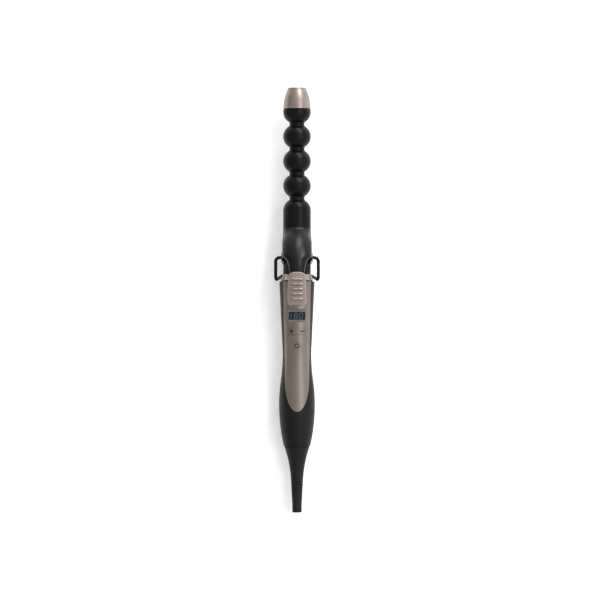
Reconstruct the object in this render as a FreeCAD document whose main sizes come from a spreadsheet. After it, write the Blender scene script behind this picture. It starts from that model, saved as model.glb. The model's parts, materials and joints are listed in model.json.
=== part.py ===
"""Curling wand: bead barrel with a spring clip, a swing-out wire stand and a handle with a display.

Each piece is drawn about the wand's own axis: local Z runs from the tail (0) to the tip, local X runs
across and local -Y is the front, where the clip and the keys are. At the end every piece is laid on its
back with one shared placement: the tip points along +X, the front faces +Z, and the wand rests on its
folded stand and on the handle's belly.
"""

import FreeCAD, Part

import math
import os

from FreeCAD import Placement, Rotation, Vector
from Sketcher import Constraint

SIZES = {
    # barrel and tip
    "wand_length": 382.0,
    "barrel_radius": 12.5,
    "barrel_foot": 195.2,
    "barrel_step": 214.6,
    "foot_radius": 11.7,
    "shoulder": 271.7,
    "bead_pitch": 22.2,
    "bead_curve": 10.88,
    "bead_reach": 9.57,
    "neck_radius": 6.8,
    "neck_fillet": 1.4,
    "barrel_bore": 10.1,
    "bead_bore": 5.4,
    "bead_bore_start": 262.0,
    "bead_bore_end": 352.0,
    "barrel_top": 363.3,
    "barrel_top_radius": 12.13,
    "tip_start": 363.5,
    "tip_end_radius": 7.9,
    "tip_curve": 40.0,
    "tip_wall": 1.5,
    "tip_bore": 10.45,
    "tip_socket": 6.25,
    "core_flange": 10.4,
    "core_neck": 6.2,
    "core_bore": 1.6,
    "core_cup": 3.2,
    "core_flange_top": 2.5,
    "core_floor_top": 5.0,
    "core_top": 9.5,
    "tip_screw_radius": 1.2,
    "tip_screw_head": 2.8,
    "tip_screw_head_tall": 1.8,
    "tip_screw_reach": 8.0,
    # heater
    "heater_radius": 2.4,
    "heater_foot": 243.0,
    "heater_length": 102.0,
    "bars_foot": 251.0,
    "bars_top": 350.0,
    "bars_slit": 0.4,
    "seat_foot": 241.0,
    "seat_top": 250.0,
    "sensor_radius": 1.0,
    "sensor_offset": 6.4,
    "sensor_foot": 242.0,
    "sensor_length": 14.0,
    "fuse_radius": 2.0,
    "fuse_offset": 5.0,
    "fuse_foot": 207.0,
    "fuse_length": 10.0,
    "fuse_wire_radius": 0.5,
    "fuse_wire_length": 18.0,
    "wire_insulation": 0.6,
    "lead_offset": 6.25,
    "lead_spread": 2.0,
    "lead_foot": 185.5,
    "lead_length": 59.0,
    # pivot
    "pivot_height": 229.3,
    "pin_shank": 2.5,
    "pin_shoulder": 3.0,
    "pin_head": 4.2,
    "pin_inner_end": 7.5,
    "pin_head_seat": 13.6,
    "pin_outer_end": 14.1,
    "wire_bore": 1.55,
    "wire_bore_end": 9.6,
    "block_radius": 10.0,
    "block_half": 6.0,
    "running_gap": 0.05,
    "fit_gap": 0.02,
    # clip
    "plate_inner": 12.8,
    "plate_outer": 13.5,
    "plate_foot": 233.0,
    "plate_end": 272.0,
    "plate_half_width": 11.2,
    "saddle_bore": 13.55,
    "ear_inner": 12.8,
    "ear_outer": 13.55,
    "lug_radius": 6.6,
    "ear_front": 15.6,
    "ear_top": 251.5,
    "fin_wall": 2.1,
    "fin_top": 256.0,
    "fin_top_front": 14.4,
    "fin_top_half": 11.0,
    "fin_top_curve": 22.0,
    "fin_shoulder": 246.0,
    "fin_shoulder_half": 13.1,
    "fin_widest": 235.0,
    "fin_widest_half": 13.4,
    "fin_heel": 231.0,
    "fin_heel_half": 11.9,
    "fin_side_curve": 60.0,
    "fin_knee": 217.0,
    "fin_knee_half": 6.6,
    "fin_outer_curve": 60.6,
    "fin_inner_curve": 20.3,
    "fin_throat": 229.3,
    "fin_throat_front": 18.7,
    "fin_bend": 218.3,
    "fin_bend_front": 41.3,
    "fin_end": 207.5,
    "fin_end_front": 42.3,
    "fin_step": 214.2,
    "fin_step_front": 39.6,
    "fin_back_front": 38.3,
    "hollow_front": 17.0,
    "hollow_top": 250.5,
    "thumb_foot": 185.6,
    "thumb_foot_back": 41.5,
    "thumb_foot_front": 49.7,
    "thumb_top": 216.5,
    "thumb_top_back": 37.0,
    "thumb_top_front": 47.3,
    "thumb_corner": 189.0,
    "thumb_flat_half": 5.0,
    "thumb_spring": 212.0,
    "thumb_crown_half": 5.0,
    "thumb_crown_curve": 6.0,
    "thumb_foot_curve": 30.0,
    "pocket_half": 6.9,
    "thumb_screw_height": 211.5,
    "thumb_screw_offset": 3.0,
    "thumb_screw_radius": 0.85,
    "thumb_screw_head": 1.9,
    "thumb_screw_seat": 39.5,
    "thumb_screw_end": 45.5,
    "thumb_half_width": 8.05,
    "rib_radius": 1.2,
    "rib_half_length": 5.6,
    "rib_pitch": 4.3,
    "rib_first": 192.5,
    "rivet_radius": 1.2,
    "rivet_height": 245.0,
    "rivet_offset": 5.0,
    "spring_width": 8.0,
    "spring_slot_half": 4.4,
    "spring_thick": 0.4,
    "spring_front": 17.5,
    "spring_top": 244.0,
    "spring_bend": 235.0,
    "spring_touch": 226.2,
    "spring_touch_front": 13.25,
    "spring_lip": 224.8,
    "spring_lip_front": 13.7,
    # stand
    "wire_radius": 1.5,
    "stand_half_width": 19.2,
    "stand_drop": 209.0,
    "stand_back": 19.0,
    "stand_back_height": 213.2,
    "stand_back_half": 13.2,
    "stand_top_corner": 3.5,
    "stand_low_corner": 3.0,
    "stand_back_corner": 5.0,
    "wire_end": 9.9,
    # collar and mount
    "ring_foot": 209.0,
    "ring_foot_radius": 14.7,
    "ring_top": 214.4,
    "ring_top_radius": 12.6,
    "ring_curve": 9.0,
    "mount_foot": 192.0,
    "mount_floor": 195.0,
    "mount_radius": 13.0,
    "mount_foot_radius": 12.6,
    "mount_flange": 14.0,
    "mount_bore": 7.3,
    "mount_screw_ring": 8.75,
    "mount_screw_radius": 0.8,
    "mount_screw_head": 1.4,
    "mount_screw_head_tall": 1.2,
    "mount_screw_reach": 5.5,
    "flange_drop": 1.1,
    "plug_tall": 7.5,
    # handle
    "tail": 59.7,
    "tail_radius": 11.8,
    "belly": 97.0,
    "belly_radius": 16.15,
    "tail_curve": 162.0,
    "belly_end": 119.0,
    "belly_end_radius": 14.55,
    "belly_curve": 152.0,
    "waist": 142.2,
    "waist_radius": 12.87,
    "waist_curve": 160.0,
    "waist_end": 147.4,
    "waist_end_radius": 12.99,
    "flare_curve": 110.0,
    "handle_top": 207.9,
    "handle_top_radius": 15.9,
    "handle_wall": 2.0,
    "seam": 0.2,
    # front panel
    "panel_top_half": 12.5,
    "panel_foot_half": 10.9,
    "panel_shoulder": 119.0,
    "panel_round": 28.0,
    "facet_depth": 12.2,
    "facet_start": 171.0,
    "facet_end": 183.5,
    "window_height": 177.0,
    "window_width": 14.6,
    "window_tall": 6.9,
    "window_thick": 1.2,
    "rocker_height": 163.2,
    "rocker_half": 8.1,
    "rocker_tall": 5.5,
    "power_height": 150.2,
    "power_radius": 3.5,
    "key_gap": 0.25,
    "key_proud": 0.3,
    "rocker_axis": 9.0,
    "rocker_pin": 0.9,
    "rocker_under": 10.6,
    "key_foot_radius": 1.1,
    "key_foot_length": 2.6,
    "rocker_foot": 5.0,
    # board
    "board_front": 5.6,
    "board_thick": 1.6,
    "board_width": 16.0,
    "board_start": 92.0,
    "board_end": 188.0,
    "carrier_thick": 1.5,
    "carrier_gap": 0.1,
    "switch_size": 4.5,
    "switch_tall": 1.5,
    "module_width": 14.0,
    "module_tall": 5.3,
    "module_long": 6.8,
    "chip_size": 5.0,
    "chip_tall": 1.4,
    "chip_height": 136.0,
    "triac_height": 119.0,
    "triac_width": 8.0,
    "tab_thick": 0.6,
    "tab_long": 10.0,
    "triac_thick": 2.2,
    "triac_long": 6.5,
    "capacitor_height": 102.0,
    "capacitor_width": 10.0,
    "capacitor_tall": 5.0,
    "capacitor_long": 11.0,
    "board_screw_radius": 0.8,
    "board_screw_head": 1.9,
    "board_screw_end": 2.6,
    # tail and boot
    "cap_top": 63.0,
    "arch_start": 84.0,
    "arch_half": 9.9,
    "arch_rise": 10.0,
    "cap_floor_top": 62.2,
    "bush_outer": 7.3,
    "stem_radius": 5.0,
    "stem_top": 83.0,
    "cord_bore": 3.3,
    "boot_top": 59.2,
    "boot_top_radius": 11.35,
    "boot_curve": 106.0,
    "relief_top": 29.25,
    "relief_top_radius": 5.5,
    "relief_end_radius": 4.3,
    "slot_depth": 3.9,
    "slot_tall": 1.25,
    "slot_pitch": 2.5,
    "slot_first": 6.9,
    "slot_count": 10.0,
    "slip_radius": 6.2,
    "holder_inner": 7.2,
    "holder_outer": 11.2,
    "holder_start": 69.0,
    "holder_end": 80.5,
    "bush_flange": 9.0,
    "bush_flange_thick": 1.6,
    "retainer_radius": 8.0,
    "retainer_foot": 1.8,
    "retainer_top": 3.2,
    "first_slip_ring": 71.0,
    "slip_ring_pitch": 5.0,
    "slip_ring_tall": 3.0,
    "brush_size": 2.4,
    "brush_length": 4.4,
    "mains_lead_spread": 6.0,
    "mains_lead_length": 18.0,
}

BEADS = 4  # whole and cut balls above the straight part's own dome
RIBS = 5  # across the thumb rest

doc = FreeCAD.newDocument("CurlingWand")
sheet = doc.addObject("Spreadsheet::Sheet", "Sheet")
for row, (alias, number) in enumerate(SIZES.items(), start=1):
    sheet.set(f"A{row}", alias)
    sheet.set(f"B{row}", str(number))
    sheet.setAlias(f"B{row}", alias)
doc.recompute()

pieces = {}


# --- sizes ------------------------------------------------------------------------------------------------

def amount(text):
    """The number that a sum of products of sheet names and numbers comes to."""
    total, product, sign = 0.0, 1.0, 1.0
    for word in text.split():
        if word in ("+", "-"):
            total += sign * product
            sign = 1.0 if word == "+" else -1.0
            product = 1.0
        elif word != "*":
            product *= SIZES[word] if word in SIZES else float(word)
    return total + sign * product


def bound(text):
    """The same sum as an expression on the sheet's cells."""
    return " ".join("Sheet." + word if word in SIZES else word for word in text.split())


def bind(item, **sizes):
    for prop, text in sizes.items():
        item.setExpression(prop, bound(text))
    return item


def put(item, x="0", y="0", z="0", turn=None):
    """Place an item in the wand's own frame, with each coordinate bound to the sheet."""
    item.Placement = Placement(Vector(amount(x), amount(y), amount(z)), turn or Rotation())
    for axis, text in zip("xyz", (x, y, z)):
        item.setExpression("Placement.Base." + axis, bound(text))
    return item


ALONG_X = Rotation(Vector(0, 1, 0), 90)
TO_FRONT = Rotation(Vector(1, 0, 0), 90)


# --- sketches and bodies ----------------------------------------------------------------------------------

def start_body(name):
    body = doc.addObject("PartDesign::Body", name)
    body.AllowCompound = True
    return body


def start_sketch(body, role):
    sketch = body.newObject("Sketcher::SketchObject", body.Name + "Sketch")
    plane = next(item for item in body.Origin.OriginFeatures if item.Role == role)
    sketch.AttachmentSupport = (plane, [""])
    sketch.MapMode = "FlatFace"
    return sketch


def arc_middle(start, end, radius, turn):
    """The middle of an arc of that radius; turn is 1 for one that turns left and -1 for right."""
    chord = end - start
    sagitta = radius - math.sqrt(radius ** 2 - (chord.Length / 2) ** 2)
    left = Vector(-chord.y, chord.x, 0).normalize()
    return (start + end) / 2 - left * sagitta * turn


def pin_coordinate(sketch, kind, axis, edge, point, text):
    """Tie one coordinate of a sketch point to the sheet, or to the axis when it is 0."""
    if text == "0":
        sketch.addConstraint(Constraint("PointOnObject", edge, point, axis))
        return
    index = sketch.addConstraint(Constraint(kind, edge, point, amount(text)))
    sketch.setExpression(f"Constraints[{index}]", bound(text))


def draw(sketch, corners):
    """A closed outline. A corner is (across, up), or (across, up, radius, turn) where an arc leaves it."""
    points = [Vector(amount(corner[0]), amount(corner[1]), 0) for corner in corners]
    starts = []
    for i, corner in enumerate(corners):
        here, there = points[i], points[(i + 1) % len(points)]
        if len(corner) == 4:
            middle = arc_middle(here, there, amount(corner[2]), corner[3])
            edge = sketch.addGeometry(Part.Arc(here, middle, there), False)
        else:
            edge = sketch.addGeometry(Part.LineSegment(here, there), False)
        starts.append((edge, 1 if sketch.getPoint(edge, 1).isEqual(here, 1e-6) else 2))
    for i, corner in enumerate(corners):
        edge, point = starts[i]
        last, last_start = starts[i - 1]
        sketch.addConstraint(Constraint("Coincident", last, 3 - last_start, edge, point))
        pin_coordinate(sketch, "DistanceX", -2, edge, point, corner[0])
        pin_coordinate(sketch, "DistanceY", -1, edge, point, corner[1])
        if len(corner) == 4:
            index = sketch.addConstraint(Constraint("Radius", edge, amount(corner[2])))
            sketch.setExpression(f"Constraints[{index}]", bound(corner[2]))


def turned(name, corners, axis="V_Axis"):
    """A body turned about the wand's axis (V_Axis) or about local X (H_Axis)."""
    body = start_body(name)
    sketch = start_sketch(body, "XZ_Plane")
    draw(sketch, corners)
    turning = body.newObject("PartDesign::Revolution", name + "Turning")
    turning.Profile = sketch
    turning.ReferenceAxis = (sketch, [axis])
    turning.Angle = 360
    return body


def tube(name, inner, outer, foot, top):
    return turned(name, [(inner, foot), (outer, foot), (outer, top), (inner, top)])


def pad(name, role, corners, length, symmetric=False):
    """A body padded from an outline on one of its own planes."""
    body = start_body(name)
    sketch = start_sketch(body, role)
    draw(sketch, corners)
    padding = body.newObject("PartDesign::Pad", name + "Pad")
    padding.Profile = sketch
    padding.SideType = "Symmetric" if symmetric else "One side"
    bind(padding, Length=length)
    return body


# --- primitives and booleans ------------------------------------------------------------------------------

def rod(name, radius, length, x="0", y="0", z="0", turn=None):
    cylinder = bind(doc.addObject("Part::Cylinder", name), Radius=radius, Height=length)
    return put(cylinder, x, y, z, turn)


def block(name, x, y, z, length, width, height):
    """A box from its lowest corner."""
    box = bind(doc.addObject("Part::Box", name), Length=length, Width=width, Height=height)
    return put(box, x, y, z)


def cut(name, base, *tools):
    for number, tool in enumerate(tools):
        last = number == len(tools) - 1
        cutting = doc.addObject("Part::Cut", name if last else f"{name}Cut{number}")
        cutting.Base = base
        cutting.Tool = tool
        base = cutting
    return base


def fuse(name, *shapes):
    union = doc.addObject("Part::MultiFuse", name)
    union.Shapes = list(shapes)
    return union


def common(name, *shapes):
    meeting = doc.addObject("Part::MultiCommon", name)
    meeting.Shapes = list(shapes)
    return meeting


def group(name, *solids):
    together = doc.addObject("Part::Compound", name)
    together.Links = list(solids)
    return together


def mirrored(name, source):
    """The same shape on the wand's other side."""
    twin = doc.addObject("Part::Mirroring", name)
    twin.Source = source
    twin.Normal = Vector(1, 0, 0)
    return twin


def copies(name, source, places):
    """Moved twins of a shape: a compound with one link and one place for each."""
    links = []
    for number, place in enumerate(places):
        link = doc.addObject("App::Link", f"{name}Copy{number}")
        link.LinkedObject = source
        link.LinkTransform = True
        links.append(put(link, *place))
    return group(name, *links)


def piece(label, item):
    """Keep an item as a sub-part with its own label and a placement that no expression holds."""
    if item.ExpressionEngine and any("Placement" in path for path, _ in item.ExpressionEngine):
        item = group(item.Name + "Piece", item)
    item.Label = label
    pieces[label] = item
    return item


# --- barrel and tip ---------------------------------------------------------------------------------------

def make_barrel():
    """Straight tube with a stepped foot, then a neck with flattened balls, the last one cut flat."""
    outline = [
        ("0", "barrel_foot"), ("foot_radius", "barrel_foot"), ("foot_radius", "barrel_step"),
        ("barrel_radius", "barrel_step"), ("barrel_radius", "shoulder", "bead_curve", 1),
        ("neck_radius", "shoulder + bead_reach")]
    for k in range(1, BEADS):
        outline += [("neck_radius", f"shoulder + {k} * bead_pitch - bead_reach", "bead_curve", 1),
                    ("neck_radius", f"shoulder + {k} * bead_pitch + bead_reach")]
    outline += [("neck_radius", f"shoulder + {BEADS} * bead_pitch - bead_reach", "bead_curve", 1),
                ("barrel_top_radius", "barrel_top"), ("0", "barrel_top")]
    solid = turned("BarrelSolid", outline)
    doc.recompute()
    sharp = solid.Tip
    necks = [f"Edge{number}" for number, edge in enumerate(sharp.Shape.Edges, start=1) if is_neck_edge(edge)]
    rounded = solid.newObject("PartDesign::Fillet", "NeckFillets")
    rounded.Base = (sharp, necks)
    bind(rounded, Radius="neck_fillet")
    bore = turned("BarrelBore", [
        ("0", "barrel_foot - 1"), ("barrel_bore", "barrel_foot - 1"), ("barrel_bore", "bead_bore_start"),
        ("bead_bore", "bead_bore_start"), ("bead_bore", "bead_bore_end"), ("0", "bead_bore_end")])
    screw_hole = rod("TipScrewHole", "tip_screw_radius + running_gap", "tip_screw_reach + 2",
                     z="barrel_top - tip_screw_reach - 1")
    pin_holes = rod("PinHoles", "pin_shank + fit_gap", "3 * barrel_radius",
                    "-1.5 * barrel_radius", "0", "pivot_height", ALONG_X)
    piece("barrel", cut("Barrel", solid, bore, screw_hole, pin_holes))


def is_neck_edge(edge):
    """A full ring of the neck's radius."""
    return isinstance(edge.Curve, Part.Circle) and abs(edge.Curve.Radius - amount("neck_radius")) < 0.01


def make_tip():
    """Insulating bush, its screw and the cool tip pressed over it."""
    floor_top = "tip_start + core_floor_top"
    piece("tip_core", turned("TipCore", [
        ("core_bore", "tip_start"), ("core_flange", "tip_start"),
        ("core_flange", "tip_start + core_flange_top"), ("core_neck", "tip_start + core_flange_top"),
        ("core_neck", "tip_start + core_top"),
        ("core_cup", "tip_start + core_top"), ("core_cup", floor_top), ("core_bore", floor_top)]))
    piece("tip_screw", turned("TipScrew", [
        ("0", "barrel_top - tip_screw_reach"), ("tip_screw_radius", "barrel_top - tip_screw_reach"),
        ("tip_screw_radius", floor_top), ("tip_screw_head", floor_top),
        ("tip_screw_head", floor_top + " + tip_screw_head_tall"),
        ("0", floor_top + " + tip_screw_head_tall")]))
    inside = "tip_start + core_flange_top + 0.1"
    piece("cool_tip", turned("CoolTip", [
        ("tip_bore", "tip_start"), ("barrel_radius", "tip_start", "tip_curve", 1),
        ("tip_end_radius", "wand_length"), ("0", "wand_length"), ("0", "wand_length - tip_wall"),
        ("tip_socket", "wand_length - tip_wall"), ("tip_socket", inside), ("tip_bore", inside)]))


def make_heater():
    """Rod heater between two half-round bars, its holder, sensor, fuse and leads."""
    lead_places = [("lead_spread", "-1 * lead_offset", "0"), ("-1 * lead_spread", "-1 * lead_offset", "0")]
    piece("heater_rod", rod("HeaterRod", "heater_radius", "heater_length", z="heater_foot"))
    bars = tube("SpreaderBars", "heater_radius + running_gap", "bead_bore - 0.1", "bars_foot", "bars_top")
    slit = block("SpreaderSlit", "-0.5 * bars_slit", "-1 * bead_bore", "bars_foot - 1",
                 "bars_slit", "2 * bead_bore", "bars_top - bars_foot + 2")
    piece("heat_spreaders", cut("HeatSpreaders", bars, slit))
    holder = tube("HolderRing", "heater_radius + running_gap", "block_radius", "seat_foot", "seat_top")
    lead_hole = rod("HolderLeadHole", "wire_insulation + 0.1", "5", z="seat_foot - 1")
    lead_holes = copies("HolderLeadHoles", lead_hole, lead_places)
    sensor_hole = rod("SensorHole", "sensor_radius + running_gap", "seat_top - seat_foot + 2",
                      x="sensor_offset", z="seat_foot - 1")
    piece("heater_holder", cut("HeaterHolder", holder, lead_holes, sensor_hole))
    sensor = rod("Thermistor", "sensor_radius", "sensor_length", x="sensor_offset", z="sensor_foot")
    piece("thermistor", sensor)
    fuse_body = rod("FuseBody", "fuse_radius", "fuse_length", y="fuse_offset", z="fuse_foot")
    fuse_wire = rod("FuseWire", "fuse_wire_radius", "fuse_wire_length", y="fuse_offset",
                    z="fuse_foot - 0.5 * fuse_wire_length + 0.5 * fuse_length")
    piece("thermal_fuse", fuse("ThermalFuse", fuse_body, fuse_wire))
    lead = rod("HeaterLead", "wire_insulation", "lead_length", z="lead_foot")
    piece("heater_leads", copies("HeaterLeads", lead, lead_places))


def make_pivot():
    """Block inside the barrel and the two hollow shoulder pins that hold the ears and the stand."""
    body = turned("BlockDisc", [
        ("0", "pivot_height - block_half"), ("block_radius", "pivot_height - block_half"),
        ("block_radius", "pivot_height + block_half"), ("0", "pivot_height + block_half")])
    lead_hole = rod("BlockLeadHole", "wire_insulation + 0.2", "2 * block_half + 2",
                    z="pivot_height - block_half - 1")
    lead_holes = copies("BlockLeadHoles", lead_hole, [
        ("lead_spread", "-1 * lead_offset", "0"), ("-1 * lead_spread", "-1 * lead_offset", "0")])
    right = rod("BlockPinHole", "pin_shank + fit_gap", "6",
                "pin_inner_end - 0.1", "0", "pivot_height", ALONG_X)
    left = mirrored("BlockPinHoleLeft", right)
    piece("pivot_block", cut("PivotBlock", body, lead_holes, right, left))
    pin = turned("PinProfile", [
        ("pin_inner_end", "0"), ("pin_outer_end", "0"), ("pin_outer_end", "pin_head"),
        ("pin_head_seat", "pin_head"), ("pin_head_seat", "pin_shoulder"),
        ("barrel_radius + fit_gap", "pin_shoulder"), ("barrel_radius + fit_gap", "pin_shank"),
        ("pin_inner_end", "pin_shank")], "H_Axis")
    put(pin, z="pivot_height")
    bore = rod("PinBore", "wire_bore", "6", "wire_bore_end", "0", "pivot_height", ALONG_X)
    pin_right = cut("PinRight", pin, bore)
    piece("pivot_pins", group("PivotPins", pin_right, mirrored("PinLeft", pin_right)))


def make_mount():
    """Collar ring, heat-insulating mount, the plug in the barrel's foot and its three screws."""
    piece("collar_ring", turned("CollarRing", [
        ("foot_radius + fit_gap", "ring_foot"), ("ring_foot_radius", "ring_foot"),
        ("ring_foot_radius", "ring_foot + 0.5", "ring_curve", -1), ("ring_top_radius", "ring_top"),
        ("foot_radius + fit_gap", "ring_top")]))
    screw_places = [
        (f"{math.cos(angle):.6f} * mount_screw_ring", f"{math.sin(angle):.6f} * mount_screw_ring", "0")
        for angle in (math.radians(90 + 120 * k) for k in range(3))]
    cup = turned("MountCup", [
        ("mount_bore", "mount_foot"), ("mount_foot_radius", "mount_foot"),
        ("mount_radius", "ring_foot - flange_drop"), ("mount_flange", "ring_foot - flange_drop"),
        ("mount_flange", "ring_foot - 0.1"),
        ("foot_radius + fit_gap", "ring_foot - 0.1"), ("foot_radius + fit_gap", "mount_floor"),
        ("mount_bore", "mount_floor")])
    cup_hole = rod("MountHole", "mount_screw_radius + fit_gap", "4", z="mount_foot - 0.5")
    cup_holes = copies("MountHoles", cup_hole, screw_places)
    piece("barrel_mount", cut("BarrelMount", cup, cup_holes))
    plug = tube("PlugRing", "mount_bore", "barrel_bore - fit_gap", "barrel_foot", "barrel_foot + plug_tall")
    plug_hole = rod("PlugHole", "mount_screw_radius + fit_gap", "6", z="barrel_foot - 0.1")
    plug_holes = copies("PlugHoles", plug_hole, screw_places)
    piece("base_plug", cut("BasePlug", plug, plug_holes))
    screw = turned("MountScrew", [
        ("0", "mount_foot - mount_screw_head_tall"),
        ("mount_screw_head", "mount_foot - mount_screw_head_tall"), ("mount_screw_head", "mount_foot"),
        ("mount_screw_radius", "mount_foot"), ("mount_screw_radius", "barrel_foot + mount_screw_reach"),
        ("0", "barrel_foot + mount_screw_reach")])
    piece("mount_screws", copies("MountScrews", screw, screw_places))


# --- clip -------------------------------------------------------------------------------------------------

def make_plate():
    """Curved tongue that lies along the barrel's front, with a round end."""
    ring = tube("PlateRing", "plate_inner", "plate_outer", "plate_foot", "plate_end")
    outline = pad("PlateOutline", "XZ_Plane", [
        ("-1 * plate_half_width", "plate_foot"), ("plate_half_width", "plate_foot"),
        ("plate_half_width", "plate_end - plate_half_width", "plate_half_width", 1),
        ("0", "plate_end", "plate_half_width", 1),
        ("-1 * plate_half_width", "plate_end - plate_half_width")], "20")
    tongue = common("PlateTongue", ring, outline)
    piece("clip_plate", cut("ClipPlate", tongue, rivet_rods("PlateHoles", "fit_gap")))


def rivet_rods(name, slack):
    """Rods on the rivets' two axes, larger than the rivets by the slack."""
    tool = rod(name + "Rod", "rivet_radius + " + slack, "4.5", "0", "-12.3", "0", TO_FRONT)
    return copies(name, tool, [("rivet_offset", "0", "rivet_height"),
                               ("-1 * rivet_offset", "0", "rivet_height")])


def make_lever():
    """Hollow curved fin that straddles the barrel, with an ear each side that reaches back to the pivot."""
    side = pad("FinSide", "YZ_Plane", [
        ("-6", "fin_throat + 2"), ("-1 * ear_front", "fin_throat + 2"),
        ("-1 * ear_front", "fin_throat - 0.2"), ("-1 * fin_throat_front", "fin_throat", "fin_inner_curve", 1),
        ("-1 * fin_back_front", "fin_step + 0.6"), ("-1 * fin_back_front", "fin_step"),
        ("-1 * fin_step_front", "fin_step"), ("-1 * fin_step_front", "fin_end"),
        ("-1 * fin_end_front", "fin_end"), ("-1 * fin_end_front", "fin_step + 0.3"),
        ("-1 * fin_bend_front", "fin_bend", "fin_outer_curve", -1),
        ("-1 * fin_top_front", "fin_top"), ("-6", "fin_top - 6")], "2 * ear_outer", True)
    front = pad("FinFront", "XZ_Plane", fin_outline("0", "fin_end - 0.1", "fin_top"), "45")
    saddle = common("FinSolid", side, front)
    hollow_side = pad("HollowSide", "YZ_Plane", [
        ("-1 * hollow_front", "fin_throat - 4"), ("-30", "fin_step"),
        ("-1 * fin_back_front + 1.1", "fin_bend + 0.5"),
        ("-1 * fin_bend_front + fin_wall", "fin_bend + 0.5", "fin_outer_curve - 2.6", -1),
        ("-1 * hollow_front - 0.4", "hollow_top"), ("-1 * hollow_front", "hollow_top - 0.2")],
        "2 * ear_outer", True)
    hollow_front = pad("HollowFront", "XZ_Plane",
                       fin_outline("fin_wall", "fin_step - 2", "hollow_top + 0.5"), "45")
    hollow = common("FinHollow", hollow_side, hollow_front)
    throat = tube("SaddleBore", "1", "saddle_bore", "220", "260")
    slot = block("SpringSlot", "-1 * spring_slot_half", "-1 * spring_front - 0.5", "spring_lip",
                 "2 * spring_slot_half", "8", "spring_bend + 1.5 - spring_lip")
    ear = pad("EarOutline", "YZ_Plane", [
        ("-1 * ear_front", "fin_throat - 0.2"), ("-1 * ear_front", "ear_top"), ("-9", "ear_top"),
        ("5.2", "pivot_height + 4.1", "lug_radius", 1), ("-2.5", "pivot_height - 6.1")],
        "ear_outer - ear_inner")
    put(ear, x="ear_inner")
    ear_hole = rod("EarHole", "pin_shoulder + running_gap", "4",
                   "ear_inner - 1", "0", "pivot_height", ALONG_X)
    ear_right = cut("EarRight", ear, ear_hole)
    ear_trim = rod("EarTrim", "saddle_bore", "40", z="220")
    shell = cut("FinShell", saddle, throat, ear_trim, hollow, slot)
    lever = fuse("FinWithEars", shell, ear_right, mirrored("EarLeft", ear_right))
    screw_holes = thumb_screw_rods("LeverScrewHoles", "thumb_screw_radius + 0.25", "-36", "10")
    piece("clip_lever", cut("ClipLever", lever, rivet_rods("LeverHoles", "fit_gap"), screw_holes))
    piece("clip_rivets", rivet_rods("ClipRivets", "0"))


def fin_outline(less, foot, top):
    """The fin's outline from the front, smaller by the wall where less says so."""
    corners = [("fin_knee_half", "fin_knee", "fin_side_curve", -1), ("fin_heel_half", "fin_heel"),
               ("fin_widest_half", "fin_widest"), ("fin_shoulder_half", "fin_shoulder", "fin_top_curve", 1)]
    right = [(f"{half} - {less}", *others) for half, *others in corners]
    left = [(f"-1 * {half} + {less}", height) for half, height, *_ in reversed(corners)]
    left[2] += ("fin_side_curve", -1)
    end_half, top_half = f"fin_knee_half - 0.3 - {less}", f"fin_top_half - {less}"
    return [("-1 * fin_knee_half + 0.3 + " + less, foot), (end_half, foot), *right, (top_half, top),
            ("-1 * fin_top_half + " + less, top, "fin_top_curve", 1), *left]


def thumb_screw_rods(name, radius, start, length):
    """Rods on the two thumb screws' axes, from a front distance forward."""
    tool = rod(name + "Rod", radius, length, "0", start, "0", TO_FRONT)
    return copies(name, tool, [("thumb_screw_offset", "0", "thumb_screw_height"),
                               ("-1 * thumb_screw_offset", "0", "thumb_screw_height")])


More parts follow.
